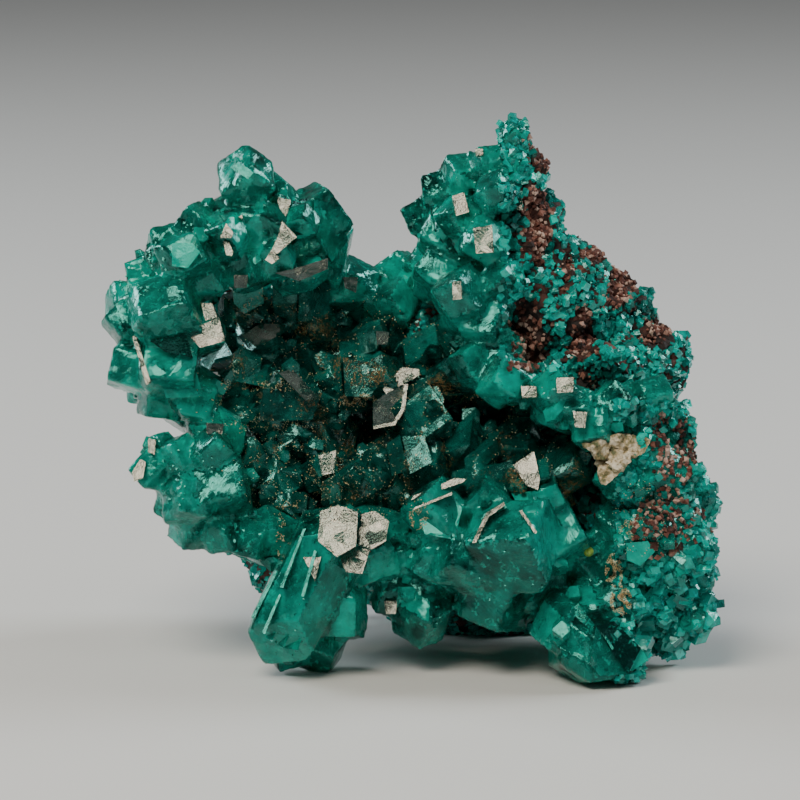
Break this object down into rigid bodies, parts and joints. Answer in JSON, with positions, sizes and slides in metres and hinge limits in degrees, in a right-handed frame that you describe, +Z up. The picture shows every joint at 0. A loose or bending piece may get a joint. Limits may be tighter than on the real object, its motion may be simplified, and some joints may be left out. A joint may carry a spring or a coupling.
{
  "type": "dioptase specimen",
  "caption": "Cluster of green dioptase crystals grown in a curved arm and a ridge round a dark hollow, on brown rock, standing free on its own feet.",
  "frame": {"origin": "middle of the footprint of the whole specimen, on the surface it stands on", "axes": "+X to the right of a viewer in front, along the widest extent, +Z up, the hollow opens to -Y"},
  "size_m": [0.0495, 0.0306, 0.0434],
  "materials": {
    "matrix": "rough",
    "dioptase": "vitreous",
    "dark_dioptase": "vitreous"
  },
  "bodies": {
    "root": {"matrix": "matrix", "crystals": "dioptase", "cavity_crust": "dark_dioptase"}
  },
  "joints": []
}
